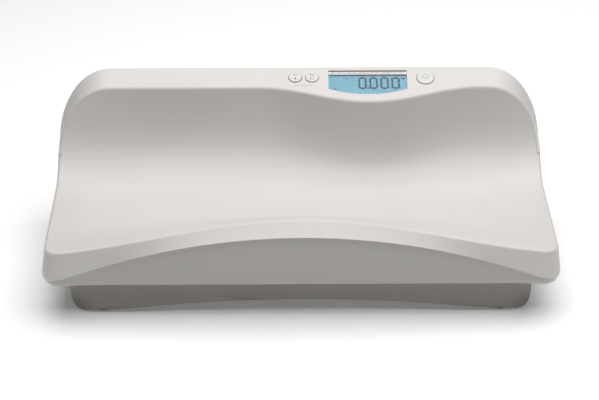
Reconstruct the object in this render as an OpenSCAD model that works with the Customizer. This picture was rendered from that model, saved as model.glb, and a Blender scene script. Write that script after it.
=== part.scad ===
// Digital baby weighing scale: a wide moulded tray with a sloping console along its back edge,
// standing on a shallow arched base with four load cells and four levelling feet.
// Origin: middle of the footprint, on the surface it stands on. +X to the right, +Y to the back.

/* [Tray] */
// Overall width of the tray
tray_w = 630; // [560:1:700]
// Overall depth of the tray
tray_d = 311.5; // [300:0.5:330]
// Height of the back edge above the table
tray_h = 206; // [196:0.5:216]
// Height of the lying surface
seat_z = 88; // [84:1:92]
// Height of the tray's lower edge, where the base begins
skirt_z = 43.5; // [40:0.5:46]
// Wall thickness of the tray
tray_wall = 3; // [2.5:0.1:3.5]
// Rounding between the top face and the skirt
edge_r = 4; // [3.5:0.1:5]
// How far the skirt flares out from top to bottom
skirt_flare = 3.5; // [2:0.5:5]
// How far the two sides bow out between their corners
side_bow = 2.2; // [0:0.1:6]
// Width of the rounding at each end of the console
end_r = 66.7; // [55:0.1:75]
// Drop of the console over that rounding
end_drop = 78.4; // [70:0.2:84]
// Plan radius of the front corners
front_corner_r = 20; // [16:1:26]
// How far the lying surface runs before it starts to climb, from the middle
wall_start = 42; // [30:1:50]

/* [Front lip] */
// Rise of the lip above the lying surface, in the middle
lip_rise = 39; // [25:1:45]
// Length over which the lip falls back to the lying surface
lip_run = 95; // [80:1:110]
// How far the top of the lip leans back, in the middle
lip_lean = 12; // [6:1:14]
// Height of the lip's lower edge, in the middle
lip_edge_z = 112.5; // [108:0.5:115]
// Drop of the lip's lower edge at the corners
lip_edge_drop = 65; // [50:1:66]
// Depth of the panel behind the lip's lower edge
panel_step = 3.5; // [2:0.5:4]

/* [Console] */
// Slope of the console
console_slope = 24; // [20:1:28]
// Depth of the console, seen from above
console_d = 36; // [33:0.1:37]
// Extra depth of the console at the display
bulge_d = 22.9; // [20:0.1:26]
// Place of the display along the width
display_x = 88.5; // [82:0.5:96]
// Length of the bulge on each side of the display
bulge_run = 142.5; // [130:0.5:160]

/* [Display] */
// Width of the display window
window_w = 101.3; // [96:0.1:108]
// Height of the window at its two sides
window_side_h = 32.2; // [30:0.1:34]
// Height of the window in the middle
window_mid_h = 41.5; // [39:0.1:43]
// Distance of the window from the console's back edge
window_top = 9.4; // [7:0.1:10]
// Thickness of the window
window_t = 1.8; // [1.5:0.1:2]
// Width of the ledge that the window is bonded to
window_ledge = 3; // [2.5:0.1:4]
// Thickness of the liquid crystal cell
lcd_t = 2.8; // [2:0.1:3]
// Thickness of the backlight
backlight_t = 3; // [2:0.1:3.2]

/* [Buttons] */
// Diameter of the power button
power_d = 22.5; // [21:0.1:24]
// Diameter of the two small buttons
small_d = 17.2; // [16:0.1:18.5]
// Place of the power button along the width
power_x = 163; // [160:0.5:170]
// Places of the left and the right small button
left_button_x = -5.2; // [-8:0.1:-4]
right_button_x = 16.5; // [15:0.1:20]
// Distance of the power button from the console's back edge
power_u = 23; // [20:0.1:25]
// Distance of the two small buttons from the console's back edge
button_u = 21.5; // [18:0.1:23]
// Height of the caps above the console
cap_rise = 1.6; // [1.2:0.1:2]
// Travel of the buttons
button_travel = 0.8; // [0.5:0.1:0.9]
// Gap round each button
button_gap = 0.4; // [0.3:0.05:0.6]

/* [Base] */
// Distance of the base from the tray's two sides
base_side = 31.5; // [27:0.5:45]
// Distance of the base from the tray's front and back edges
base_end = 24; // [22:0.5:29]
// Wall thickness of the base
base_wall = 3; // [2.5:0.1:3.5]
// Plan radius of the base's corners
base_corner_r = 36; // [34:1:40]
// Height of the base's arch in the middle
arch_z = 17.5; // [16:0.5:18.5]
// Height of the base's underside at the feet
base_clear = 2; // [1.5:0.1:3]
// Rounding of the base's lower edge
base_edge_r = 14; // [10:1:16]
// Thickness of the flange that closes the tray from below
flange_t = 3; // [2.5:0.1:3.5]

/* [Feet and load cells] */
// Distance of the feet from the base's two sides
foot_side = 40.5; // [39:0.5:50]
// Distance of the feet from the base's front and back
foot_end = 22; // [22:0.5:30]
// Diameter of a foot pad
pad_d = 30; // [26:0.5:30]
// Height of a foot pad
pad_h = 8; // [7:0.5:9]
// Diameter of a foot stem
stem_d = 8; // [6:0.5:9]
// Travel of a foot
foot_travel = 6; // [4:0.5:7]
// Edge of a load cell
cell_w = 34; // [32:1:34]
// Thickness of a load cell
cell_t = 3; // [2.5:0.1:3.5]
// Height of the seat of a load cell
cell_z = 18; // [17:0.5:20]
// Radial clearance of the stem in its bush
stem_fit = 0.05; // [0.02:0.01:0.08]

/* [Batteries] */
// Diameter of a cell
battery_d = 14.2; // [14:0.1:14.5]
// Length of a cell
battery_l = 49.5; // [49:0.1:50.5]
// Number of cells side by side
battery_count = 6; // [4:2:6]
// Place of the compartment along the depth
bay_y = 20; // [0:1:40]
// Thickness of the battery cover
cover_t = 2.2; // [2:0.1:2.6]
// Gap round the battery cover
cover_gap = 0.4; // [0.3:0.1:0.6]

/* [Power socket] */
// Bore of the power socket
socket_bore = 5.5; // [5:0.1:6]
// Place of the power socket along the width
socket_x = -120; // [-160:1:-90]

/* [Hidden] */
$fn = 48;

function clamp01(v) = max(0, min(1, v));
function ease(v) = 0.5 - 0.5 * cos(180 * clamp01(v));

// ---------- tray: derived sizes ----------
half_w = tray_w / 2;
half_d = tray_d / 2;
rim_w = half_w - skirt_flare - side_bow; // half width of the rim at its corners
rim_back = half_d - skirt_flare;         // back edge of the rim
grid_w = rim_w - edge_r;                 // the top face ends where the edge rounding starts
grid_back = rim_back - edge_r;
grid_front = -grid_back;
back_r = end_r - edge_r;
front_r = front_corner_r - edge_r;
nose_r = 3.5;                            // rounding of the console's front edge
bulge_shift = 1.5;                       // the bulge lies a little to the right of the display
roll_z = skirt_z + 13.5;                 // where the skirt starts to roll under
roll_in = 10;                            // how far it rolls under
panel_lean = 3;                          // lean of the front panel
ledge_w = 4;                             // ledge inside the roll, which the base's flange lies on
ledge_z = skirt_z + tray_wall;
wall_run = rim_back - console_d - wall_start;  // depth of the curved wall, and its height
wall_rise = tray_h - (console_d - edge_r) * tan(console_slope) - nose_r - seat_z;

// ---------- tray: columns across the width, closer together round the corners ----------
corner_steps = 9;
flat_steps = 28;
flat_w = grid_w - back_r;
columns = [
    for (i = [corner_steps:-1:1]) -flat_w - back_r * sin(90 * i / corner_steps),
    for (i = [0:flat_steps]) flat_w * (2 * i / flat_steps - 1),
    for (i = [1:corner_steps]) flat_w + back_r * sin(90 * i / corner_steps)
];
function corner_x(x, r) = max(0, abs(x) - (grid_w - r));
function corner_y(x, r) = r - sqrt(max(0, r * r - pow(corner_x(x, r), 2)));

// ---------- tray: shape of the top face ----------
// the console's two ends fall along a quarter of an ellipse, and stay on the curved wall's edge
function end_share(x, drop = 0) = min(1, corner_x(x, back_r) / (back_r - drop));
function end_fall(x, drop = 0) = end_drop * (1 - sqrt(max(0, 1 - pow(end_share(x, drop), 2))));
function end_shift(x) = wall_run * (1 - sqrt(1 - pow(end_fall(x) / wall_rise, 2)));
function end_turn(x) =
    let (rise = wall_run * end_drop * end_share(x) * end_fall(x) / wall_rise)
    let (level = sqrt(1 - pow(end_fall(x) / wall_rise, 2)) * sqrt(max(0, 1 - pow(end_share(x), 2))))
    rise / norm([rise, wall_rise * back_r * level]);
function bulge(x) = 1 - ease(abs(x - display_x - bulge_shift) / bulge_run);
function console_depth(x) = console_d + bulge_d * bulge(x);
function shoulder(x, drop) = end_fall(x, drop) - end_shift(x) * tan(console_slope);
function console_z(x, y, drop = 0) = tray_h - (grid_back - y) * tan(console_slope) - shoulder(x, drop);
function lip_z(x) = seat_z + lip_rise * (1 - ease(abs(x) / 365));
function lip_back(x) = lip_lean * (1 - ease(abs(x) / 330));
function lip_low_z(x) = lip_edge_z - lip_edge_drop * pow(x / (tray_w / 2), 2);

// height of the curved wall, from the lying surface up to the console's front edge
function wall_z(x, y, drop) =
    let (run = rim_back - console_depth(x) - wall_start + drop)
    let (top = console_z(0, rim_back - console_depth(x)) - nose_r)
    let (t = clamp01((y - wall_start) / run))
    seat_z - drop + (top - seat_z) * (1 - sqrt(max(0, 1 - pow(t, 2 + 0.6 * bulge(x)))));

// one section of the top face from front to back; drop lowers and widens it for the inner face
lip_steps = 6;
wall_steps = 9;
edge_sweep = 18;                         // the wall sweeps up to the console's edge over this run
function section(x, drop) =
    let (front = grid_front + corner_y(x, front_r) + lip_back(x))
    let (back = grid_back - end_shift(x))
    let (nose = back + edge_r - console_depth(x) + drop)
    let (top = console_z(x, nose, drop) - drop / cos(console_slope))
    let (gap = top - nose_r - wall_z(x, nose, drop))
    let (sweep = function (y) gap * pow(clamp01(1 - (nose - y) / edge_sweep), 2.5))
    let (wall_y = function (k) wall_start + (nose - wall_start) * sin(90 * k / (wall_steps + 0.6)))
    [
        for (k = [0:lip_steps])
            [front + lip_run * k / lip_steps,
             seat_z - drop + (lip_z(x) - seat_z) * (1 - ease(k / lip_steps))],
        [(wall_start + front + lip_run) / 2, seat_z - drop],
        for (k = [0:wall_steps]) [wall_y(k), wall_z(x, wall_y(k), drop) + sweep(wall_y(k))],
        [nose, top - nose_r],
        [nose + nose_r * 0.3, top - nose_r * 0.3],
        [nose + nose_r, top + nose_r * tan(console_slope)],
        [(nose + nose_r + back) / 2, console_z(x, (nose + nose_r + back) / 2, drop) - drop / cos(console_slope)],
        [back, console_z(x, back, drop) - drop / cos(console_slope)]
    ];

// ---------- tray: the mesh ----------
n_col = len(columns);
n_row = lip_steps + wall_steps + 8;
bow_y = wall_start + 11;                 // where the tray is widest, and how far that reaches
bow_half = 0.6 * half_w;
function bowed(x, y) = x * (1 + side_bow * (1 - pow((y - bow_y) / bow_half, 2)) / grid_w);
function face_points(drop) =
    [for (x = columns) for (p = section(x, drop)) [bowed(x, p[0]), p[0], p[1]]];
outer_face = face_points(0);
inner_face = face_points(tray_wall);

// the border of the face, as column and row numbers, anticlockwise seen from above
border = [
    for (i = [0:n_col - 1]) [i, 0],
    for (j = [1:n_row - 1]) [n_col - 1, j],
    for (i = [n_col - 2:-1:0]) [i, n_row - 1],
    for (j = [n_row - 2:-1:1]) [0, j]
];
n_rim = len(border);
function border_normal(b) =
    let (x = columns[b[0]])
    let (on_front = b[1] == 0, on_back = b[1] == n_row - 1)
    let (side = on_front ? corner_x(x, front_r) / front_r : on_back ? end_turn(x) : 1)
    [sign(x) * side, (on_front ? -1 : 1) * sqrt(max(0, 1 - side * side))];

// outward reach and height of each line of the skirt, from the rim down and back up inside
function skirt_line(b) =
    let (x = columns[b[0]])
    let (top = outer_face[b[0] * n_row + b[1]][2])
    let (under = inner_face[b[0] * n_row + b[1]][2])
    let (front = b[1] == 0 ? -border_normal(b)[1] : 0)
    let (low = max(b[1] == 0 ? lip_low_z(x) : 0, roll_z + 1))
    let (reach = edge_r + skirt_flare + (b[1] == 0 ? lip_back(x) : 0))
    let (step = front * panel_step * clamp01((low - roll_z - 1) / 8))
    let (foot = reach - step - front * panel_lean)
    let (w = tray_wall)
    [
        [edge_r * sin(45), top - edge_r * (1 - cos(45))],
        [edge_r, top - edge_r],
        [reach, low],
        [reach - step - 0.01, low + 0.01],
        [foot - 0.02, roll_z],
        [foot - roll_in * (1 - cos(30)), roll_z - (roll_z - skirt_z) * sin(30)],
        [foot - roll_in * (1 - cos(60)), roll_z - (roll_z - skirt_z) * sin(60)],
        [foot - roll_in, skirt_z],
        [foot - roll_in - w, skirt_z],
        [foot - roll_in - w, ledge_z],
        [foot - roll_in - w + ledge_w, ledge_z],
        [foot - w, roll_z + 2],
        [reach - step - w, low + 2],
        [edge_r - w, min(under, top - edge_r - 1)]
    ];
skirt_profiles = [for (b = border) skirt_line(b)];
n_ring = len(skirt_profiles[0]);
skirt_points = [
    for (m = [0:n_ring - 1])
        for (k = [0:n_rim - 1])
            let (b = border[k])
            let (p = outer_face[b[0] * n_row + b[1]])
            let (n = border_normal(b))
            let (s = skirt_profiles[k][m])
            [p[0] + n[0] * s[0], p[1] + n[1] * s[0], s[1]]
];
n_face = n_col * n_row;
function outer_id(b) = b[0] * n_row + b[1];
function inner_id(b) = n_face + b[0] * n_row + b[1];
function ring_id(m, k) = 2 * n_face + m * n_rim + (k % n_rim);

tray_faces = [
    for (i = [0:n_col - 2])
        for (j = [0:n_row - 2])
            let (a = i * n_row + j)
            each [[a, a + 1, a + n_row + 1], [a, a + n_row + 1, a + n_row]],
    for (i = [0:n_col - 2])
        for (j = [0:n_row - 2])
            let (a = n_face + i * n_row + j)
            each [[a, a + n_row + 1, a + 1], [a, a + n_row, a + n_row + 1]],
    for (k = [0:n_rim - 1])
        let (b = border[k], c = border[(k + 1) % n_rim])
        each [
            [outer_id(b), outer_id(c), ring_id(0, k + 1)],
            [outer_id(b), ring_id(0, k + 1), ring_id(0, k)],
            [ring_id(n_ring - 1, k), ring_id(n_ring - 1, k + 1), inner_id(c)],
            [ring_id(n_ring - 1, k), inner_id(c), inner_id(b)]
        ],
    for (m = [0:n_ring - 2])
        for (k = [0:n_rim - 1])
            each [
                [ring_id(m, k), ring_id(m, k + 1), ring_id(m + 1, k + 1)],
                [ring_id(m, k), ring_id(m + 1, k + 1), ring_id(m + 1, k)]
            ]
];
module tray_shell() {
    polyhedron(points = concat(outer_face, inner_face, skirt_points), faces = tray_faces, convexity = 10);
}

// ---------- frame on the console: x along the width, u down the slope, w into the tray ----------
module on_console(x, u, w) {
    translate([x, rim_back, tray_h + edge_r * tan(console_slope)])
        rotate([console_slope, 0, 0])
            translate([0, -u, -w])
                children();
}
// a rod along the console's normal, from depth w0 to depth w1
module console_rod(x, u, w0, w1, r) {
    on_console(x, u, w1) cylinder(r = r, h = w1 - w0);
}

// ---------- display and control sizes ----------
under = 0.15;                            // gap below the console for what lies against it
fit_gap = 0.2;                           // gap round parts that drop into a pocket
strip_h = 6.5;                           // solid strip above the window's opening
lcd_half = window_w / 2 - window_ledge + 0.7;
lcd_u0 = window_top + strip_h + 1;
lcd_u1 = window_top + window_mid_h - window_ledge + 0.8;
frame_wall = 2.5;
flange_w1 = 1.3;                         // thickness of a button's ears
ear_reach = 1.5;
plunger_r = 1.75;
plunger_fit = 0.08;
stem_r = 3;
switch_w = 6.2;
switch_h = 3.5;
plunger_top = tray_wall + under + flange_w1 + 4;
switch_top = plunger_top + button_travel + 0.4;
board_top = switch_top + switch_h;
board_t = 1.6;
board_u0 = button_u - 6.3;
board_u1 = 42.5;
board_edge = 9;                          // how far the board reaches past the outer buttons
board_x0 = left_button_x - small_d / 2 - board_edge;
board_x1 = power_x + power_d / 2 + board_edge;
board_screw_r = 1.2;
boss_r = 2.8;
boss_edge = 4;                           // distance of the bosses from the board's edge
board_screw_places = [
    [board_x0 + boss_edge, board_u1 - 2 * boss_edge + 0.5],
    [display_x - window_w / 2 - 5.8, board_u1 - boss_edge],
    [display_x + window_w / 2 + 5, board_u1 - boss_edge],
    [board_x1 - boss_edge, board_u1 - 2 * boss_edge + 0.5]
];
// each button's place along the width, its diameter and its distance from the back edge
power_spot = [power_x, power_d, power_u];
left_spot = [left_button_x, small_d, button_u];
right_spot = [right_button_x, small_d, button_u];
buttons = [power_spot, left_spot, right_spot];

// ---------- outline of the window: straight top and sides, bowed lower edge ----------
bow = window_mid_h - window_side_h;
bow_r = (pow(window_w / 2, 2) + bow * bow) / (2 * bow);
module window_outline(inset, top_inset) {
    intersection() {
        translate([-window_w / 2 + inset, -window_mid_h + inset])
            square([window_w - 2 * inset, window_mid_h - inset - top_inset]);
        translate([0, -window_mid_h + bow_r]) circle(r = bow_r - inset, $fn = 180);
    }
}
// a plate of the window's outline, from depth w0 to depth w1
module window_plate(inset, top_inset, w0, w1) {
    on_console(display_x, window_top, w1)
        linear_extrude(w1 - w0) window_outline(inset, top_inset);
}

// ---------- base: derived sizes ----------
base_w = tray_w - 2 * base_side;
base_d = tray_d - 2 * base_end;
foot_x = base_w / 2 - foot_side;
foot_y = base_d / 2 - foot_end;
flange_half = grid_w + edge_r + skirt_flare - roll_in - tray_wall + ledge_w - 0.1;
flange_front = grid_front - edge_r - skirt_flare + panel_step + panel_lean
    + roll_in + tray_wall - ledge_w + 1;
flange_back = grid_back + edge_r + skirt_flare - roll_in - tray_wall + ledge_w - 1;
flange_z = ledge_z + 0.1;
base_top = flange_z + flange_t;
foot_spots = [[-foot_x, -foot_y], [foot_x, -foot_y], [-foot_x, foot_y], [foot_x, foot_y]];
arch_h = arch_z - base_clear;
arch_r = (foot_x * foot_x + arch_h * arch_h) / (2 * arch_h);
front_edge_r = 6;
pad_gap = 0.5;

// housing screws: along the sides, along the back, and two posts inside the base
side_screw_x = (base_w / 2 + flange_half) / 2;
side_screw_y = base_d / 2 - 50;
back_screw_y = base_d / 2 + 5;
back_screw_x = base_w / 2 - 83.5;
side_screws = [for (x = [-1, 1]) for (y = [-side_screw_y, -20]) [x * side_screw_x, y]];
back_screws = [for (x = [-1, -0.35, 0.35, 1]) [x * back_screw_x, back_screw_y]];
post_screws = [for (x = [-0.75, 0.75]) [x * back_screw_x, -27]];
screw_r = 1.9;
screw_gap = 0.15;
screw_head_r = 3.6;
screw_head_t = 2.2;
screw_l = 16;                            // length of the screws along the sides and the back
post_bite = 14;                          // how far the long screws go into the tray
screw_boss_r = 4.5;
post_z = 60;
lying_under = seat_z - tray_wall;

module screw_boss(p, z0, z1) {
    translate([p[0], p[1], z0]) cylinder(r = screw_boss_r, h = z1 - z0);
}
module screw_hole(p, z0, z1) {
    translate([p[0], p[1], z0]) cylinder(r = screw_r + screw_gap, h = z1 - z0);
}

// ---------- weighing tray ----------
back_boss_z = 96;
module tray_bosses() {
    for (p = side_screws) screw_boss(p, base_top, lying_under + 1.5);
    for (p = post_screws) screw_boss(p, post_z, lying_under + 1.5);
    for (p = back_screws) {
        screw_boss(p, base_top, back_boss_z);
        translate([p[0] - 1.5, p[1], base_top])
            cube([3, grid_back + 5 - p[1], back_boss_z - base_top]);
    }
    for (p = board_screw_places) console_rod(p[0], p[1], 1.5, board_top, boss_r);
}
module tray_holes() {
    window_plate(-fit_gap, -fit_gap, -4, window_t + 0.2);
    window_plate(window_ledge, strip_h, -1, tray_wall + 2);
    for (b = buttons) console_rod(b[0], b[2], -4, tray_wall + 2, b[1] / 2 + button_gap);
    for (p = side_screws) screw_hole(p, base_top - 1, lying_under - 4);
    for (p = post_screws) screw_hole(p, post_z - 1, lying_under - 4);
    for (p = back_screws) screw_hole(p, base_top - 1, back_boss_z - 20);
    for (p = board_screw_places)
        console_rod(p[0], p[1], tray_wall + 2, board_top + 1, board_screw_r + 0.05);
}
module weighing_tray() {
    color("whitesmoke")
        difference() {
            union() {
                tray_shell();
                tray_bosses();
            }
            tray_holes();
        }
}

// ---------- display ----------
module display_window() {
    color("lightslategray")
        window_plate(0, 0, 0.1, window_t);
}
module lcd_box(grow, w0, w1) {
    on_console(display_x, 0, w1)
        translate([-lcd_half - grow, -lcd_u1 - grow, 0])
            cube([2 * (lcd_half + grow), lcd_u1 - lcd_u0 + 2 * grow, w1 - w0]);
}
lcd_w0 = tray_wall + under + 0.3;
lcd_w1 = lcd_w0 + lcd_t;
module lcd_panel() {
    color("lightblue") lcd_box(0, lcd_w0, lcd_w1);
}
module backlight() {
    color("white") lcd_box(0, lcd_w1, lcd_w1 + backlight_t);
}
module display_frame() {
    color("gainsboro")
        difference() {
            lcd_box(frame_wall, tray_wall + under, board_top);
            lcd_box(fit_gap, 0, lcd_w1 + backlight_t);
            lcd_box(-frame_wall, 0, board_top + 1);
        }
}

// ---------- buttons: a domed cap, two ears that stop it under the console, and a stem ----------
dome_rise = 0.7;
module button(spot) {
    x = spot[0];
    d = spot[1];
    u = spot[2];
    dome_r = (d * d / 4 + dome_rise * dome_rise) / (2 * dome_rise);
    ear_top = tray_wall + under;
    intersection() {
        console_rod(x, u, -cap_rise, ear_top, d / 2);
        on_console(x, u, dome_r - cap_rise) sphere(r = dome_r, $fn = 180);
    }
    intersection() {
        console_rod(x, u, ear_top, ear_top + flange_w1, d / 2 + ear_reach);
        on_console(x, u, ear_top + flange_w1)
            translate([-d, -d / 2 + 1, -1]) cube([2 * d, d - 2, flange_w1 + 2]);
    }
    console_rod(x, u, ear_top + flange_w1, plunger_top, stem_r);
}
module power_button() {
    color("whitesmoke") button(power_spot);
}
module left_function_button() {
    color("whitesmoke") button(left_spot);
}
module right_function_button() {
    color("whitesmoke") button(right_spot);
}
module plunger(spot) {
    color("dimgray")
        console_rod(spot[0], spot[2], plunger_top, board_top - button_travel - 0.3, plunger_r);
}
module power_plunger() {
    plunger(power_spot);
}
module left_function_plunger() {
    plunger(left_spot);
}
module right_function_plunger() {
    plunger(right_spot);
}
module switch_bodies() {
    color("black")
        for (b = buttons)
            difference() {
                on_console(b[0], b[2], board_top)
                    translate([-switch_w / 2, -switch_w / 2, 0])
                        cube([switch_w, switch_w, switch_h]);
                console_rod(b[0], b[2], 0, board_top - 0.2, plunger_r + plunger_fit);
            }
}

// ---------- control board ----------
module control_board() {
    color("darkgreen")
        difference() {
            on_console(0, 0, board_top + board_t)
                translate([board_x0, -board_u1, 0])
                    cube([board_x1 - board_x0, board_u1 - board_u0, board_t]);
            for (p = board_screw_places)
                console_rod(p[0], p[1], board_top - 1, board_top + board_t + 1, board_screw_r + 0.2);
        }
}
module board_screws() {
    color("silver")
        for (p = board_screw_places) {
            console_rod(p[0], p[1], tray_wall + 4, board_top + board_t, board_screw_r);
            console_rod(p[0], p[1], board_top + board_t, board_top + board_t + 1.4, 2.4);
        }
}

// ---------- base housing ----------
function arc(x, y, r, from, to, n) =
    [for (i = [0:n]) let (a = from + (to - from) * i / n) [x + r * cos(a), y + r * sin(a)]];
// a rectangle whose two front corners have radius r0 and whose two back corners have radius r1
function rounded(x0, x1, y0, y1, r0, r1, n) = concat(
    arc(x0 + r0, y0 + r0, r0, 180, 270, n), arc(x1 - r0, y0 + r0, r0, 270, 360, n),
    arc(x1 - r1, y1 - r1, r1, 0, 90, n), arc(x0 + r1, y1 - r1, r1, 90, 180, n));
function arch_at(x) = arch_z + sqrt(arch_r * arch_r - x * x) - arch_r;
function arch_line(x0, x1, n, lift) =
    [for (i = [0:n]) let (x = x0 + (x1 - x0) * i / n) [x, arch_at(x) + lift]];
// the shallow tub, seen from the front: round lower corners with the arch between the feet
arch_steps = 24;
module tub_front(inset) {
    w = base_w / 2 - inset;
    r = base_edge_r - inset;
    z = base_clear + inset;
    polygon(concat([[-w, base_top + 1]], arc(-w + r, z + r, r, 180, 270, 6),
                   arch_line(-foot_x, foot_x, arch_steps, inset),
                   arc(w - r, z + r, r, 270, 360, 6), [[w, base_top + 1]]));
}
module tub_form(inset, top) {
    w = base_w / 2 - inset;
    d = base_d / 2 - inset;
    r = base_corner_r - inset;
    e = front_edge_r - inset;
    z = base_clear + inset;
    intersection() {
        linear_extrude(top) polygon(rounded(-w, w, -d, d, r, r, 10));
        translate([0, d + 1, 0]) rotate([90, 0, 0]) linear_extrude(2 * d + 2) tub_front(inset);
        translate([-w - 1, 0, 0]) rotate([90, 0, 90]) linear_extrude(2 * w + 2)
            polygon(concat([[-d, base_top + 2]], arc(-d + e, z + e, e, 180, 270, 4),
                           arc(d - e, z + e, e, 270, 360, 4), [[d, base_top + 2]]));
    }
}

// battery bay
leaf_w = 8;                              // width and half thickness of a spring contact
leaf_t = 0.7;
pitch = battery_d + 0.8;
bay_w = battery_count * pitch + 1;
spring_room = 4;
contact_t = 0.5;
contact_w = 10;
bay_d = battery_l + spring_room + contact_t;
bay_wall = 6;
cover_lip = 2.6;
cover_w = bay_w + 2 * cover_lip;
cover_d = bay_d + 2 * cover_lip;
cover_top = arch_z + cover_t;
battery_z = cover_top + 0.3 + battery_d / 2;
bay_top = battery_z + battery_d / 2 + 0.6;
hinge_z = arch_z + cover_t / 2;
hinge_swing = hinge_z - arch_at(cover_w / 2); // room that the cover's back edge needs as it turns
hinge_y = bay_y + cover_d / 2 + cover_gap - hinge_swing - 0.3;
hinge_pin_r = cover_t / 2 - 0.1;
hinge_fit = 0.08;
hinge_reach = 2.5;
module centred_box(w, d, z0, z1, y) {
    translate([-w / 2, y - d / 2, z0]) cube([w, d, z1 - z0]);
}

cell_outline = rounded(-cell_w / 2, cell_w / 2, -cell_w / 2, cell_w / 2, 5, 5, 4);
clamp_t = 1.5;
clamp_ear = 22;
cell_screw_r = 1.4;
cell_screw_bite = 6;

socket_z = 30;
socket_hole_r = socket_bore / 2 + 1.4;
module base_solids() {
    for (p = foot_spots) {
        translate([p[0], p[1], base_clear + 1])
            linear_extrude(cell_z - base_clear - 1)
                polygon(cell_outline);
        for (x = [-clamp_ear, clamp_ear])
            translate([p[0] + x, p[1], base_clear + 1])
                cylinder(r = 3.6, h = cell_z + cell_t - base_clear - 1);
    }
    for (p = post_screws) screw_boss(p, arch_at(p[0]) + 1.5, post_z - 0.1);
    translate([0, bay_y + bay_d / 2 + bay_wall, 0]) rotate([90, 0, 0])
        linear_extrude(bay_d + 2 * bay_wall)
            polygon(concat(arch_line(-bay_w / 2 - bay_wall, bay_w / 2 + bay_wall, 4, 0.5),
                           [[bay_w / 2 + bay_wall, bay_top + 2], [-bay_w / 2 - bay_wall, bay_top + 2]]));
}
module base_holes() {
    for (p = foot_spots) {
        translate([p[0], p[1], -1]) cylinder(r = pad_d / 2 + pad_gap, h = base_top);
        for (x = [-clamp_ear, clamp_ear])
            translate([p[0] + x, p[1], cell_z - 2 * cell_screw_bite + 2])
                cylinder(r = cell_screw_r + 0.1, h = cell_z);
    }
    for (p = concat(side_screws, back_screws)) {
        screw_hole(p, flange_z - 1, base_top + 1);
    }
    for (p = post_screws) {
        screw_hole(p, 0, post_z + 1);
        translate([p[0], p[1], -1]) cylinder(r = screw_head_r + 0.2, h = arch_z + 3);
    }
    centred_box(bay_w, bay_d, -1, bay_top, bay_y);
    centred_box(cover_w + 2 * cover_gap, cover_d + 2 * cover_gap, -1, cover_top, bay_y);
    translate([-cover_w / 2 - hinge_reach - 0.5, hinge_y, hinge_z])
        rotate([0, 90, 0]) cylinder(r = hinge_pin_r + hinge_fit, h = cover_w + 2 * hinge_reach + 1);
    translate([socket_x, base_d / 2 - base_wall - 1, socket_z])
        rotate([-90, 0, 0]) cylinder(r = socket_hole_r, h = base_wall + 2);
}
module base_housing() {
    color("gray")
        difference() {
            union() {
                difference() {
                    union() {
                        translate([0, 0, flange_z]) linear_extrude(flange_t)
                            polygon(rounded(-flange_half, flange_half, flange_front, flange_back,
                                            14, 30, 8));
                        tub_form(0, base_top);
                    }
                    tub_form(base_wall, base_top + 1);
                }
                base_solids();
            }
            base_holes();
        }
}

// ---------- battery cover: a plate that follows the arch, hinged at its back edge ----------
tongue_w = 18;
tongue_l = 13;
module battery_cover() {
    color("gray")
        difference() {
            union() {
                translate([0, hinge_y, 0]) rotate([90, 0, 0])
                    linear_extrude(hinge_y - bay_y + cover_d / 2)
                        polygon(concat(arch_line(-cover_w / 2, cover_w / 2, 4, 0),
                                       [[cover_w / 2, cover_top], [-cover_w / 2, cover_top]]));
                translate([-cover_w / 2 - hinge_reach, hinge_y, hinge_z])
                    rotate([0, 90, 0]) cylinder(r = hinge_pin_r, h = cover_w + 2 * hinge_reach);
            }
            for (x = [-tongue_w / 2 - 1, tongue_w / 2])
                translate([x, bay_y - cover_d / 2 - 1, 0]) cube([1, tongue_l, 40]);
            translate([-tongue_w / 2 + 3, bay_y - cover_d / 2 + 3, arch_z - 2])
                cube([tongue_w - 6, 4, 3]);
        }
}

// ---------- batteries and their contacts ----------
module each_battery() {
    for (i = [0:battery_count - 1])
        translate([(i - (battery_count - 1) / 2) * pitch, bay_y, battery_z])
            rotate([i % 2 == 0 ? 90 : -90, 0, 0])
                children();
}
module batteries() {
    color("darkslateblue")
        each_battery() translate([0, 0, (spring_room - contact_t) / 2]) {
            translate([0, 0, -battery_l / 2]) cylinder(r = battery_d / 2, h = battery_l - 1.2);
            cylinder(r = 2.7, h = battery_l / 2);
        }
}
module battery_plates() {
    color("silver")
        each_battery()
            translate([-contact_w / 2, -contact_w / 2, bay_d / 2 - contact_t])
                cube([contact_w, contact_w, contact_t]);
}
// a bent leaf that presses on the flat end of each cell
module battery_springs() {
    color("silver")
        each_battery()
            translate([leaf_w / 2, 0, -bay_d / 2]) rotate([0, -90, 0]) linear_extrude(leaf_w)
                polygon([[0, -contact_w / 2], [spring_room, -leaf_t], [spring_room, leaf_t],
                         [0, contact_w / 2], [0, contact_w / 2 - leaf_t],
                         [spring_room - leaf_t, 0], [0, leaf_t - contact_w / 2]]);
}

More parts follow.
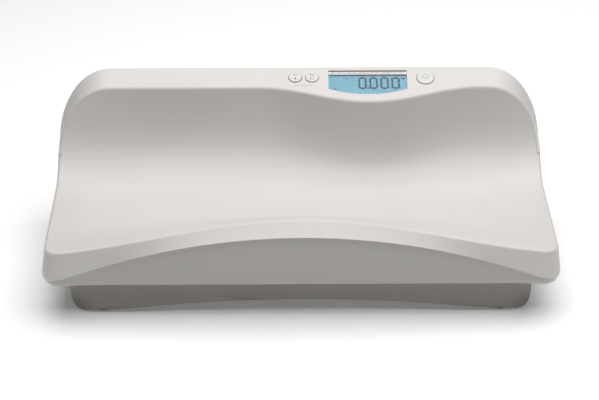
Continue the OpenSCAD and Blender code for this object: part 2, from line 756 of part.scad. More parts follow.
// ---------- load cells: a steel plate with a slotted tongue ----------
slot_w = 2;
tongue_half = 9;
bush_r = 6;
module load_cell(p) {
    translate([p[0], p[1], cell_z])
        difference() {
            linear_extrude(cell_t)
                polygon(cell_outline);
            for (x = [-tongue_half - slot_w, tongue_half])
                translate([x, -tongue_half - slot_w, -1])
                    cube([slot_w, 2 * tongue_half + slot_w + 2, cell_t + 2]);
            translate([-tongue_half - slot_w, -tongue_half - slot_w, -1])
                cube([2 * (tongue_half + slot_w), slot_w, cell_t + 2]);
            translate([0, 0, -1]) cylinder(r = bush_r, h = cell_t + 2);
        }
}
module load_cell_front_left() {
    color("silver") load_cell(foot_spots[0]);
}
module load_cell_front_right() {
    color("silver") load_cell(foot_spots[1]);
}
module load_cell_back_left() {
    color("silver") load_cell(foot_spots[2]);
}
module load_cell_back_right() {
    color("silver") load_cell(foot_spots[3]);
}
module cell_clamps() {
    color("dimgray")
        for (p = foot_spots)
            translate([p[0], p[1], cell_z + cell_t])
                difference() {
                    linear_extrude(clamp_t) {
                        polygon(cell_outline);
                        polygon(rounded(-clamp_ear - 4, clamp_ear + 4, -4, 4, 3.9, 3.9, 5));
                    }
                    translate([-cell_w / 2 + 4, -cell_w / 2 + 4, -1])
                        cube([cell_w - 8, cell_w - 8, clamp_t + 2]);
                    for (x = [-clamp_ear, clamp_ear])
                        translate([x, 0, -1]) cylinder(r = cell_screw_r + 0.2, h = clamp_t + 2);
                }
}
module cell_screws() {
    color("silver")
        for (p = foot_spots)
            for (x = [-clamp_ear, clamp_ear])
                translate([p[0] + x, p[1], 0]) {
                    translate([0, 0, cell_z - cell_screw_bite])
                        cylinder(r = cell_screw_r, h = cell_t + clamp_t + cell_screw_bite);
                    translate([0, 0, cell_z + cell_t + clamp_t])
                        cylinder(r = 2 * cell_screw_r, h = 1.6);
                }
}

// ---------- feet: bush in the cell's tongue, threaded stem, swivelling pad ----------
bush_flange_t = 2.5;
foot_disc_r = 6;
foot_disc_t = 2;
disc_z = 3.5;
stem_top = cell_z + cell_t + bush_flange_t + foot_travel + 4;
module foot_bushes() {
    color("goldenrod")
        for (p = foot_spots)
            translate([p[0], p[1], cell_z])
                difference() {
                    union() {
                        cylinder(r = bush_r, h = cell_t);
                        translate([0, 0, cell_t]) cylinder(r = bush_r + 2.2, h = bush_flange_t);
                    }
                    translate([0, 0, -1])
                        cylinder(r = stem_d / 2 + stem_fit, h = cell_t + bush_flange_t + 2);
                }
}
module foot_stem(p) {
    color("silver")
        translate([p[0], p[1], 0])
            difference() {
                union() {
                    translate([0, 0, disc_z]) cylinder(r = foot_disc_r, h = foot_disc_t);
                    translate([0, 0, disc_z]) cylinder(r = stem_d / 2, h = stem_top - disc_z);
                }
                translate([-3, -0.6, disc_z - 1]) cube([6, 1.2, 2]);
            }
}
module foot_stem_front_left() {
    foot_stem(foot_spots[0]);
}
module foot_stem_front_right() {
    foot_stem(foot_spots[1]);
}
module foot_stem_back_left() {
    foot_stem(foot_spots[2]);
}
module foot_stem_back_right() {
    foot_stem(foot_spots[3]);
}
module foot_pad(p) {
    color("black")
        translate([p[0], p[1], 0])
            difference() {
                cylinder(r = pad_d / 2, h = pad_h);
                translate([0, 0, -1]) cylinder(r = 4, h = pad_h);
                translate([0, 0, disc_z - stem_fit])
                    cylinder(r = foot_disc_r + stem_fit, h = foot_disc_t + 2 * stem_fit);
                cylinder(r = stem_d / 2 + stem_fit, h = pad_h + 1);
            }
}
module foot_pad_front_left() {
    foot_pad(foot_spots[0]);
}
module foot_pad_front_right() {
    foot_pad(foot_spots[1]);
}
module foot_pad_back_left() {
    foot_pad(foot_spots[2]);
}
module foot_pad_back_right() {
    foot_pad(foot_spots[3]);
}

// ---------- housing screws ----------
module housing_screw(p, z, length) {
    translate([p[0], p[1], z]) cylinder(r = screw_r, h = length);
    translate([p[0], p[1], z - screw_head_t]) cylinder(r = screw_head_r, h = screw_head_t);
}
module housing_screws() {
    color("silver") {
        for (p = concat(side_screws, back_screws)) housing_screw(p, flange_z, screw_l);
        for (p = post_screws) housing_screw(p, arch_z + 2, post_z - arch_z - 2 + post_bite);
    }
}

// ---------- power socket ----------
socket_w = 11;
socket_l = 14;
socket_bore_l = 9.5;
module power_socket() {
    socket_y = base_d / 2 - base_wall;
    color("black")
        translate([socket_x, socket_y, socket_z])
            rotate([-90, 0, 0])
                difference() {
                    union() {
                        translate([-socket_w / 2, -socket_w / 2, -socket_l])
                            cube([socket_w, socket_w, socket_l]);
                        cylinder(r = socket_hole_r - 0.1, h = base_wall);
                    }
                    translate([0, 0, base_wall - socket_bore_l])
                        cylinder(r = socket_bore / 2, h = socket_bore_l + 1);
                }
}

weighing_tray();
base_housing();
display_window();
display_frame();
lcd_panel();
backlight();
power_button();
left_function_button();
right_function_button();
power_plunger();
left_function_plunger();
right_function_plunger();
switch_bodies();
control_board();
board_screws();
battery_cover();
batteries();
battery_springs();
battery_plates();
load_cell_front_left();
load_cell_front_right();
load_cell_back_left();
load_cell_back_right();
cell_clamps();
cell_screws();
foot_bushes();
foot_stem_front_left();
foot_stem_front_right();
foot_stem_back_left();
foot_stem_back_right();
foot_pad_front_left();
foot_pad_front_right();
foot_pad_back_left();
foot_pad_back_right();
housing_screws();
power_socket();
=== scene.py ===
"""Digital baby weighing scale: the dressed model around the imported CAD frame.

A wide white ABS tray with a sloping console along its back edge stands on a grey ABS base.
Lengths are in millimetres until a mesh is made, and MM turns them to metres.
"""

import math

import bmesh
import bpy
from mathutils import Matrix, Vector


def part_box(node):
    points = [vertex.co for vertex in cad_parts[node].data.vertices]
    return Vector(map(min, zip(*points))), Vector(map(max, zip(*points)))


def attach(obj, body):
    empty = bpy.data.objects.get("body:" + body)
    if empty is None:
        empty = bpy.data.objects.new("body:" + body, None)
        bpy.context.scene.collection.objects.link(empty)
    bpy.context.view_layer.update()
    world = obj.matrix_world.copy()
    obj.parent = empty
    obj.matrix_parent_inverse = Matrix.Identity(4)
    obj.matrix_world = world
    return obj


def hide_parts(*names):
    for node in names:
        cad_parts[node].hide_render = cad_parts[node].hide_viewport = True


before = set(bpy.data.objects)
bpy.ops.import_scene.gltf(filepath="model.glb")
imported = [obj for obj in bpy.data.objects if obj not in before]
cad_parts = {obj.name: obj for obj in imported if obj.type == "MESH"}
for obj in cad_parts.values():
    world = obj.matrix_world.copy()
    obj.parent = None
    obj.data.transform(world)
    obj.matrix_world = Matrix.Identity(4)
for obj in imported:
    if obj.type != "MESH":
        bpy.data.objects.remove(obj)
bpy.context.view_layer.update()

MM = 0.001


# ---------------------------------------------------------------- sizes, as in the part's source
def frame_box(node):
    """A CAD node's box in millimetres, rounded to a hundredth."""
    low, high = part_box(node)
    return [round(v / MM, 2) for v in low], [round(v / MM, 2) for v in high]


tray_low, tray_high = frame_box("weighing_tray")
HALF_W, HALF_D, TRAY_H = tray_high
SKIRT_Z = tray_low[2]
SEAT_Z = 88.0
WALL = 3.0
EDGE_R = 4.0
SKIRT_FLARE = 3.5
FRONT_CORNER_R = 20.0

# The curved wall, from its start on the lying surface to the console's nose. The exponent of its
# curve is higher below the display, and its last stretch sweeps out to the nose.
WALL_START = 42.0
WALL_POWER = 2.0
WALL_BULGE_POWER = 0.6
EDGE_SWEEP = 18.0
EDGE_SWEEP_POWER = 2.5

# The front lip rises and leans back towards its middle, and its lower edge falls outwards.
LIP_RISE = 39.0
LIP_RISE_HALF = 365.0
LIP_RUN = 95.0
LIP_LEAN = 12.0
LIP_LEAN_HALF = 330.0
LIP_EDGE_Z = 112.5
LIP_EDGE_DROP = 65.0

# The recessed panel and the groove below the lip. The step fades out where the lip runs low.
PANEL_STEP = 3.5
PANEL_LEAN = 3.0
STEP_FADE = 8.0
STEP_SOFT = 1.2
GROOVE_D = 1.5
GROOVE_H = 1.1
SEAM = 0.02
RING_GAP = 0.004

# The console slopes to a rounded nose, bulges forward round the display and falls at both ends.
CONSOLE_D = 36.0
SLOPE = math.radians(24)
NOSE_R = 3.5
DISPLAY_X = 88.5
BULGE_D = 22.9
BULGE_SHIFT = 1.5
BULGE_RUN = 142.5
END_R = 66.7
END_DROP = 78.4

# The skirt's rolled lower edge and the ledge inside it, which lies on the base.
ROLL_Z = SKIRT_Z + 13.5
ROLL_IN = 10.0
LEDGE_W = 4.0
LEDGE_Z = SKIRT_Z + WALL

# The rim, and the grid of the top face inside its rounding.
SIDE_BOW = 2.2
BOW_Y = WALL_START + 11
BOW_HALF = 0.6 * HALF_W
RIM_W = HALF_W - SKIRT_FLARE - SIDE_BOW
RIM_BACK = HALF_D - SKIRT_FLARE
GRID_W = RIM_W - EDGE_R
GRID_BACK = RIM_BACK - EDGE_R
GRID_FRONT = -GRID_BACK
BACK_R = END_R - EDGE_R
FRONT_R = FRONT_CORNER_R - EDGE_R
WALL_RUN = RIM_BACK - CONSOLE_D - WALL_START
WALL_RISE = TRAY_H - (CONSOLE_D - EDGE_R) * math.tan(SLOPE) - NOSE_R - SEAT_Z

# Window and buttons. Each button is its place along the width, its place down the slope and its
# diameter.
WINDOW_W = 101.3
WINDOW_SIDE_H = 32.2
WINDOW_MID_H = 41.5
WINDOW_TOP = 9.4
WINDOW_T = 1.8
WINDOW_LEDGE = 3.0
STRIP_H = 6.5
BUTTON_GAP = 0.4
CAP_RISE = 1.6
DOME_RISE = 0.7
POWER_BUTTON = (163.0, 23.0, 22.5)
LEFT_BUTTON = (-5.2, 21.5, 17.2)
RIGHT_BUTTON = (16.5, 21.5, 17.2)


# ---------------------------------------------------------------- small helpers
def hex_colour(code):
    """An sRGB hex value as the linear colour that a shader takes."""
    channels = [int(code[i:i + 2], 16) / 255 for i in (1, 3, 5)]
    linear = [c / 12.92 if c <= 0.04045 else ((c + 0.055) / 1.055) ** 2.4 for c in channels]
    return (*linear, 1.0)


def add(tree, kind, settings=None, inputs=None):
    """Adds a node with its settings, and with inputs that are values or other nodes' outputs."""
    node = tree.nodes.new(kind)
    for name, value in (settings or {}).items():
        setattr(node, name, value)
    for key, value in (inputs or {}).items():
        if isinstance(value, bpy.types.NodeSocket):
            tree.links.new(value, node.inputs[key])
        else:
            node.inputs[key].default_value = value
    return node


def math_node(tree, operation, *values):
    """The result of a Math node on values or other nodes' outputs."""
    return add(tree, "ShaderNodeMath", {"operation": operation}, dict(enumerate(values))).outputs[0]


def vector_node(tree, x=0.0, y=0.0, z=0.0):
    """A vector from values or other nodes' outputs."""
    return add(tree, "ShaderNodeCombineXYZ", inputs={0: x, 1: y, 2: z}).outputs[0]


def first_node(tree, kind):
    """The tree's first node of that type."""
    return next(node for node in tree.nodes if node.type == kind)


def new_finish(name, colour, roughness, metallic=0.0, ior=1.5, **sockets):
    """A Principled material with its fixed values on the shader's own sockets."""
    material = bpy.data.materials.new(name)
    material.use_nodes = True
    tree = material.node_tree
    tree.nodes.clear()
    values = {"Base Color": hex_colour(colour), "Roughness": roughness,
              "Metallic": metallic, "IOR": ior}
    values.update(sockets)
    shader = add(tree, "ShaderNodeBsdfPrincipled", inputs=values)
    output = add(tree, "ShaderNodeOutputMaterial")
    tree.links.new(shader.outputs["BSDF"], output.inputs["Surface"])
    return material, tree, shader


def mesh_object(name, points, faces, material=None):
    """A mesh piece from points in millimetres, with its faces turned outwards."""
    mesh = bpy.data.meshes.new(name)
    mesh.from_pydata([[c * MM for c in p] for p in points], [], faces)
    obj = bpy.data.objects.new(name, mesh)
    bpy.context.scene.collection.objects.link(obj)
    work = bmesh.new()
    work.from_mesh(mesh)
    bmesh.ops.recalc_face_normals(work, faces=work.faces)
    work.to_mesh(mesh)
    work.free()
    if material:
        mesh.materials.append(material)
    return obj


def smooth(obj, angle=30):
    """Smooth shading that breaks at edges sharper than the angle."""
    mesh = obj.data
    mesh.polygons.foreach_set("use_smooth", [True] * len(mesh.polygons))
    mesh.set_sharp_from_angle(angle=math.radians(angle))
    mesh.update()
    return obj


def settled(obj):
    """Turns the object's modifiers into plain mesh and removes them."""
    bpy.context.view_layer.update()
    graph = bpy.context.evaluated_depsgraph_get()
    mesh = bpy.data.meshes.new_from_object(obj.evaluated_get(graph))
    old = obj.data
    obj.modifiers.clear()
    obj.data = mesh
    bpy.data.meshes.remove(old)
    mesh.name = obj.name
    return obj


def place(obj, body, slot, *nodes):
    """The piece rides on its body and stands for these CAD nodes. Its slot is not used."""
    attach(obj, body)
    if nodes:
        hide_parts(*nodes)
    return obj


def finished_copy(node, body, slot, material, angle=30):
    """A copy of a CAD node with merged corners, so that its round faces shade smoothly."""
    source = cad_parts[node]
    mesh = source.data.copy()
    mesh.materials.clear()
    mesh.materials.append(material)
    work = bmesh.new()
    work.from_mesh(mesh)
    bmesh.ops.remove_doubles(work, verts=work.verts, dist=0.002 * MM)
    work.to_mesh(mesh)
    work.free()
    obj = bpy.data.objects.new(node + "_moulded", mesh)
    bpy.context.scene.collection.objects.link(obj)
    mesh.polygons.foreach_set("material_index", [0] * len(mesh.polygons))
    smooth(obj, angle)
    even = obj.modifiers.new("even", "WEIGHTED_NORMAL")
    even.weight = 100
    even.keep_sharp = True
    settled(obj)
    return place(obj, body, slot, node)


# ---------------------------------------------------------------- finishes
def spark_texture(tree, shader, grain, depth):
    """The fine even grain of a spark-eroded mould. grain and depth are in millimetres."""
    where = add(tree, "ShaderNodeTexCoord")
    noise = add(tree, "ShaderNodeTexNoise", {"noise_dimensions": "3D"},
                {"Vector": where.outputs["Object"], "Scale": 1 / (grain * MM),
                 "Detail": 2.0, "Roughness": 0.6})
    bump = add(tree, "ShaderNodeBump", inputs={"Height": noise.outputs["Fac"],
                                               "Strength": 0.35, "Distance": depth * MM})
    tree.links.new(bump.outputs["Normal"], shader.inputs["Normal"])
    return noise


def varied(tree, shader, socket, source, low, high):
    """Lets a pattern move one of the shader's inputs between two values or two colours."""
    if isinstance(low, str):
        ramp = add(tree, "ShaderNodeValToRGB", inputs={"Fac": source})
        for stop, colour, position in zip(ramp.color_ramp.elements, (low, high), (0.35, 0.65)):
            stop.color = hex_colour(colour)
            stop.position = position
        tree.links.new(ramp.outputs["Color"], shader.inputs[socket])
    else:
        spread = add(tree, "ShaderNodeMapRange",
                     inputs={"Value": source, "From Min": 0.3, "From Max": 0.7,
                             "To Min": low, "To Max": high})
        tree.links.new(spread.outputs["Result"], shader.inputs[socket])


def moulded_abs(name, light, dark, grain=1.2, depth=0.02, roughness=(0.42, 0.5)):
    """Injection-moulded ABS: satin, with a grain that is really 0.1 mm and drawn coarser to show,
    and a very slight drift of tone where the melt flowed."""
    material, tree, shader = new_finish(name, light, roughness[0], ior=1.53)
    fine = spark_texture(tree, shader, grain, depth)
    varied(tree, shader, "Roughness", fine.outputs["Fac"], *roughness)
    where = add(tree, "ShaderNodeTexCoord")
    drift = add(tree, "ShaderNodeTexNoise", {"noise_dimensions": "3D"},
                {"Vector": where.outputs["Object"], "Scale": 1 / (90 * MM), "Detail": 1.0})
    varied(tree, shader, "Base Color", drift.outputs["Fac"], dark, light)
    return material


def paint_panel_shade(material, colour):
    """Paints shade on the recessed front panel: a greyer tone for the shade that falls under the
    lip, not another plastic. It lies below the lip's lower edge, whose height falls with the square
    of the distance from the middle."""
    tree = material.node_tree
    shader = first_node(tree, "BSDF_PRINCIPLED")
    white = shader.inputs["Base Color"].links[0].from_socket
    where = add(tree, "ShaderNodeTexCoord")
    xyz = add(tree, "ShaderNodeSeparateXYZ", inputs={"Vector": where.outputs["Object"]})
    square = math_node(tree, "MULTIPLY", xyz.outputs["X"], xyz.outputs["X"])
    fall = LIP_EDGE_DROP * MM / (HALF_W * MM) ** 2
    edge = math_node(tree, "MULTIPLY_ADD", square, -fall, (LIP_EDGE_Z - 0.1) * MM)
    below = math_node(tree, "LESS_THAN", xyz.outputs["Z"], edge)
    front = math_node(tree, "LESS_THAN", xyz.outputs["Y"], (GRID_FRONT + FRONT_R) * MM)
    both = math_node(tree, "MULTIPLY", below, front)
    # painted shade: the panel below the lip's edge takes the darker colour
    mix = add(tree, "ShaderNodeMix", {"data_type": "RGBA"},
              {0: both, 6: white, 7: hex_colour(colour)})
    tree.links.new(mix.outputs[2], shader.inputs["Base Color"])


def brushed_metal(name, light, dark, roughness, line=0.4):
    """Sheet or turned metal with fine tool lines about 0.05 mm apart, drawn coarser to show."""
    material, tree, shader = new_finish(name, light, roughness, metallic=1.0)
    where = add(tree, "ShaderNodeTexCoord")
    stretch = add(tree, "ShaderNodeMapping", inputs={"Vector": where.outputs["Object"],
                                                     "Scale": (1.0, 12.0, 12.0)})
    noise = add(tree, "ShaderNodeTexNoise", {"noise_dimensions": "3D"},
                {"Vector": stretch.outputs["Vector"], "Scale": 1 / (12 * line * MM), "Detail": 3.0})
    varied(tree, shader, "Base Color", noise.outputs["Fac"], dark, light)
    varied(tree, shader, "Roughness", noise.outputs["Fac"], roughness - 0.06, roughness + 0.06)
    return material


def gloss_plastic(name, colour, roughness, coat=0.0):
    """A polished moulding or a thin print, with faint unevenness in its gloss."""
    material, tree, shader = new_finish(name, colour, roughness, ior=1.5,
                                        **{"Coat Weight": coat, "Coat Roughness": 0.08})
    noise = spark_texture(tree, shader, 2.0, 0.005)
    varied(tree, shader, "Roughness", noise.outputs["Fac"], roughness - 0.03, roughness + 0.03)
    return material


def rubber():
    """Black moulded rubber with a dusty, matt skin."""
    material, tree, shader = new_finish("black_rubber", "#2A2928", 0.75, ior=1.52)
    noise = spark_texture(tree, shader, 0.8, 0.05)
    varied(tree, shader, "Base Color", noise.outputs["Fac"], "#232221", "#343331")
    return material


def clear_acrylic():
    """The window: 1.8 mm of cast acrylic with an anti-reflex coat, so its gloss is faint."""
    material, tree, shader = new_finish("clear_acrylic", "#F4FAFC", 0.03, ior=1.49,
                                        **{"Transmission Weight": 1.0,
                                           "Specular IOR Level": 0.05})
    noise = spark_texture(tree, shader, 6.0, 0.002)
    varied(tree, shader, "Roughness", noise.outputs["Fac"], 0.02, 0.05)
    return material


def glowing(name, colour, glow, strength, roughness=0.35):
    """The liquid crystal's face, lit from behind: an even colour that glows a little."""
    material, tree, shader = new_finish(name, colour, roughness, ior=1.5,
                                        **{"Emission Color": hex_colour(glow),
                                           "Emission Strength": strength,
                                           "Specular IOR Level": 0.05})
    noise = spark_texture(tree, shader, 3.0, 0.002)
    varied(tree, shader, "Roughness", noise.outputs["Fac"], roughness - 0.05, roughness + 0.05)
    return material


white_abs = moulded_abs("moulded_abs_white", "#D2CFCC", "#D0CDC9")
grey_abs = moulded_abs("moulded_abs_grey", "#918D89", "#8E8A85", roughness=(0.5, 0.58))
# painted shade on the front panel below the lip
paint_panel_shade(white_abs, "#B3B0AD")
inner_abs = moulded_abs("moulded_abs_inner", "#D9D9D6", "#D3D3CF")
button_abs = moulded_abs("moulded_abs_buttons", "#D2D0CD", "#D0CECB", 1.6, 0.01, (0.3, 0.36))
# painted shade: the buttons' sides are darkened for the shadow in the gap round them
cap_side_shade = moulded_abs("painted_shade_cap_side", "#7F7672", "#78706C", 1.6, 0.01)
window_acrylic = clear_acrylic()
strip_print = gloss_plastic("print_pale_grey", "#DCD6D5", 0.35)
line_print = gloss_plastic("print_dark_grey", "#544B48", 0.4)
blue_print = gloss_plastic("print_dark_blue", "#3E5C78", 0.4)
icon_print = gloss_plastic("print_icon_grey", "#A19C99", 0.5)
dark_print = gloss_plastic("print_icon_dark", "#6E6966", 0.5)
lcd_face = glowing("liquid_crystal_blue", "#3FA6C0", "#6CB8D4", 0.10)
lcd_digit = glowing("liquid_crystal_dark", "#1F4763", "#2A5A78", 0.03)
lcd_glass = gloss_plastic("liquid_crystal_glass", "#7FB3C8", 0.1, 0.5)
light_guide = gloss_plastic("light_guide_acrylic", "#E8EEF0", 0.25)
board_green = gloss_plastic("solder_mask_green", "#1E5A35", 0.35, 0.3)
switch_black = gloss_plastic("moulded_nylon_black", "#1B1B1C", 0.5)
socket_black = gloss_plastic("moulded_pbt_black", "#151516", 0.4)
cell_wrap = gloss_plastic("printed_cell_wrap", "#27364F", 0.25, 0.4)
zinc_steel = brushed_metal("zinc_plated_steel", "#C9CACC", "#B9BABC", 0.3)
nickel_steel = brushed_metal("nickel_plated_spring_steel", "#D2D0CC", "#C2C0BC", 0.22)
cell_steel = brushed_metal("ground_tool_steel", "#A9ABAE", "#96989B", 0.35)
bush_brass = brushed_metal("turned_brass", "#C9A45C", "#B8934C", 0.3)
pad_rubber = rubber()


# ---------------------------------------------------------------- tray: its form
def clamp01(v):
    return max(0.0, min(1.0, v))


def ease(v):
    return 0.5 - 0.5 * math.cos(math.pi * clamp01(v))


def corner_x(x, r):
    return max(0.0, abs(x) - (GRID_W - r))


def corner_y(x, r):
    return r - math.sqrt(max(0.0, r * r - corner_x(x, r) ** 2))


def bulge(x):
    return 1 - ease(abs(x - DISPLAY_X - BULGE_SHIFT) / BULGE_RUN)


def console_depth(x):
    return CONSOLE_D + BULGE_D * bulge(x)


def root(v):
    return math.sqrt(max(0.0, v))


def end_share(x, drop=0.0):
    return min(1.0, corner_x(x, BACK_R) / (BACK_R - drop))


def end_fall(x, drop=0.0):
    """How far the console's end has fallen there, along a quarter of an ellipse."""
    return END_DROP * (1 - root(1 - end_share(x, drop) ** 2))


def end_shift(x):
    """How far it has come forward, so that it stays on the curved wall's edge."""
    return WALL_RUN * (1 - root(1 - (end_fall(x) / WALL_RISE) ** 2))


def end_turn(x):
    """How far the back edge has turned to the side: 0 along the back, 1 along the side."""
    share = end_share(x)
    rise = WALL_RUN * END_DROP * share * end_fall(x) / WALL_RISE
    level = WALL_RISE * BACK_R * root(1 - (end_fall(x) / WALL_RISE) ** 2) * root(1 - share ** 2)
    return rise / math.hypot(rise, level)


def console_z(x, y, drop=0.0):
    fall = end_fall(x, drop) - end_shift(x) * math.tan(SLOPE)
    return TRAY_H - (GRID_BACK - y) * math.tan(SLOPE) - fall


def lip_z(x):
    return SEAT_Z + LIP_RISE * (1 - ease(abs(x) / LIP_RISE_HALF))


def lip_back(x):
    return LIP_LEAN * (1 - ease(abs(x) / LIP_LEAN_HALF))


def lip_low_z(x):
    return LIP_EDGE_Z - LIP_EDGE_DROP * (x / HALF_W) ** 2


def wall_z(x, y, drop):
    """Height of the curved wall between the lying surface and the console's front edge."""
    run = RIM_BACK - console_depth(x) - WALL_START + drop
    top = console_z(0, RIM_BACK - console_depth(x)) - NOSE_R
    t = clamp01((y - WALL_START) / run)
    power = WALL_POWER + WALL_BULGE_POWER * bulge(x)
    return SEAT_Z - drop + (top - SEAT_Z) * (1 - root(1 - t ** power))


def bowed(x, y):
    """The sides bow outwards a little between their ends."""
    return x * (1 + SIDE_BOW * (1 - ((y - BOW_Y) / BOW_HALF) ** 2) / GRID_W)


def tray_columns(corner_steps, flat_steps):
    """Places of the sections across the width, closer together round the corners."""
    flat = GRID_W - BACK_R
    turn = [flat + BACK_R * math.sin(math.pi / 2 * i / corner_steps)
            for i in range(1, corner_steps + 1)]
    middle = [flat * (2 * i / flat_steps - 1) for i in range(flat_steps + 1)]
    return [-x for x in reversed(turn)] + middle + turn


def tray_section(x, drop, lip_steps=22, flat_steps=4, wall_steps=40, nose_steps=6,
                 console_steps=10):
    """One line of the top face from front to back. drop sets the inner face."""
    front = GRID_FRONT + corner_y(x, FRONT_R) + lip_back(x)
    back = GRID_BACK - end_shift(x)
    nose = back + EDGE_R - console_depth(x) + drop
    under = drop / math.cos(SLOPE)
    top = console_z(x, nose, drop) - under
    gap = top - NOSE_R - wall_z(x, nose, drop)
    line = []
    for k in range(lip_steps + 1):
        share = 1 - ease(k / lip_steps)
        line.append((front + LIP_RUN * k / lip_steps, SEAT_Z - drop + (lip_z(x) - SEAT_Z) * share))
    flat_start = front + LIP_RUN
    for k in range(1, flat_steps):
        line.append((flat_start + (WALL_START - flat_start) * k / flat_steps, SEAT_Z - drop))
    for k in range(wall_steps + 1):
        y = WALL_START + (nose - WALL_START) * math.sin(math.pi / 2 * k / (wall_steps + 0.6))
        sweep = clamp01(1 - (nose - y) / EDGE_SWEEP) ** EDGE_SWEEP_POWER
        line.append((y, wall_z(x, y, drop) + gap * sweep))
    for k in range(nose_steps + 1):
        t = k / nose_steps
        y = nose + NOSE_R * t * t
        z = top - NOSE_R * (1 - t) ** 2 + NOSE_R * t * t * math.tan(SLOPE)
        line.append((y, z))
    start = nose + NOSE_R
    for k in range(1, console_steps + 1):
        y = start + (back - start) * k / console_steps
        line.append((y, console_z(x, y, drop) - under))
    return line


def skirt_profile(x, front, top, under_top, on_front):
    """Outward reach and height of the skirt's lines, from the rim down and up again inside. The
    edge rounding turns until it runs into the straight of the lip or the side. SEAM and RING_GAP
    keep lines apart that would else meet."""
    low = max(lip_low_z(x) if on_front else 0.0, ROLL_Z + 1)
    reach = EDGE_R + SKIRT_FLARE + (lip_back(x) if on_front else 0.0)
    step = front * PANEL_STEP * clamp01((low - ROLL_Z - 1) / STEP_FADE)
    foot = reach - step - front * PANEL_LEAN
    soft = min(STEP_SOFT, step)
    turn = math.pi / 2
    for _ in range(8):
        down = top - EDGE_R * (1 - math.cos(turn)) - low
        turn = math.atan2(down, reach - EDGE_R * math.sin(turn))
    lines = []
    for k in range(1, 7):
        a = turn * k / 6
        lines.append((EDGE_R * math.sin(a), top - EDGE_R * (1 - math.cos(a))))
    lines.append(((lines[-1][0] + reach) / 2, (lines[-1][1] + low) / 2))
    for k in range(4):
        a = math.pi / 2 * k / 3
        lines.append((reach - soft * (1 - math.cos(a)) - RING_GAP * k,
                      low + soft * (1 - math.sin(a)) + RING_GAP * k))
    fade = step / PANEL_STEP
    panel = reach - step - SEAM
    lines.append((panel - GROOVE_D * fade, low + SEAM))
    lines.append((panel - GROOVE_D * fade, low - SEAM - GROOVE_H * fade))
    lines.append((panel, low - 2 * SEAM - GROOVE_H * fade))
    lines.append((foot - SEAM, ROLL_Z))
    for k in range(1, 9):
        a = math.pi / 2 * k / 8
        lines.append((foot - ROLL_IN * (1 - math.cos(a)),
                      ROLL_Z - (ROLL_Z - SKIRT_Z) * math.sin(a)))
    inner = foot - ROLL_IN - WALL
    return lines + [
        (inner, SKIRT_Z),
        (inner, LEDGE_Z),
        (inner + LEDGE_W, LEDGE_Z),
        (foot - WALL, ROLL_Z + 2),
        (reach - step - WALL, low + 2),
        (EDGE_R - WALL, min(under_top, top - EDGE_R - 1)),
    ]


def tray_shell():
    """The whole tray as one closed skin: top face, inner face and the skirt round them."""
    columns = tray_columns(14, 120)
    points = []
    for drop in (0.0, WALL):
        for x in columns:
            points += [(bowed(x, y), y, z) for y, z in tray_section(x, drop)]
    n_col = len(columns)
    n_row = len(points) // (2 * n_col)
    n_face = n_col * n_row
    faces = []
    for i in range(n_col - 1):
        for j in range(n_row - 1):
            a = i * n_row + j
            faces.append((a, a + n_row, a + n_row + 1, a + 1))
            faces.append(tuple(n_face + b for b in (a, a + 1, a + n_row + 1, a + n_row)))
    border = ([(i, 0) for i in range(n_col)] + [(n_col - 1, j) for j in range(1, n_row)]
              + [(i, n_row - 1) for i in range(n_col - 2, -1, -1)]
              + [(0, j) for j in range(n_row - 2, 0, -1)])
    profiles = []
    for i, j in border:
        x = columns[i]
        on_front = j == 0
        on_back = j == n_row - 1
        side = 1.0
        if on_front:
            side = corner_x(x, FRONT_R) / FRONT_R
        elif on_back:
            side = end_turn(x)
        away = math.copysign(side, x)
        along = (-1 if on_front else 1) * math.sqrt(max(0.0, 1 - side * side))
        edge = points[i * n_row + j]
        under_top = points[n_face + i * n_row + j][2]
        front = -along if on_front else 0.0
        lines = skirt_profile(x, front, edge[2], under_top, on_front)
        profiles.append([(edge[0] + away * reach, edge[1] + along * reach, z)
                         for reach, z in lines])
    n_rim = len(border)
    n_ring = len(profiles[0])
    for m in range(n_ring):
        points += [profile[m] for profile in profiles]
    for k in range(n_rim):
        after = (k + 1) % n_rim
        outer = [border[n][0] * n_row + border[n][1] for n in (k, after)]
        rings = [2 * n_face + m * n_rim for m in range(n_ring)]
        faces.append((outer[0], rings[0] + k, rings[0] + after, outer[1]))
        for m in range(n_ring - 1):
            faces.append((rings[m] + k, rings[m + 1] + k, rings[m + 1] + after, rings[m] + after))
        faces.append((rings[-1] + k, n_face + outer[0], n_face + outer[1], rings[-1] + after))
    return mesh_object("tray", points, faces, white_abs)


# ---------------------------------------------------------------- console: frame and outlines
CONSOLE_Y = RIM_BACK
CONSOLE_Z = TRAY_H + EDGE_R * math.tan(SLOPE)


def on_console(x, u, w):
    """x runs along the width, u down the slope from the back edge and w into the tray."""
    y = CONSOLE_Y - u * math.cos(SLOPE) + w * math.sin(SLOPE)
    z = CONSOLE_Z - u * math.sin(SLOPE) - w * math.cos(SLOPE)
    return (x, y, z)


def window_outline(inset, top_inset, steps=40):
    """The window's outline: straight top and sides, and a lower edge that bows downwards."""
    half = WINDOW_W / 2 - inset
    bow = WINDOW_MID_H - WINDOW_SIDE_H
    bow_r = ((WINDOW_W / 2) ** 2 + bow * bow) / (2 * bow)
    centre = WINDOW_TOP + WINDOW_MID_H - bow_r
    top = WINDOW_TOP + top_inset
    r = bow_r - inset
    line = [(-half, top), (half, top)]
    for k in range(steps + 1):
        x = half * (1 - 2 * k / steps)
        line.append((x, centre + math.sqrt(r * r - x * x)))
    return [(DISPLAY_X + x, u) for x, u in line]


def circle_outline(x, u, r, steps=96):
    turn = [2 * math.pi * k / steps for k in range(steps)]
    return [(x + r * math.cos(a), u + r * math.sin(a)) for a in turn]


def box_outline(x0, x1, u0, u1):
    return [(x0, u0), (x1, u0), (x1, u1), (x0, u1)]


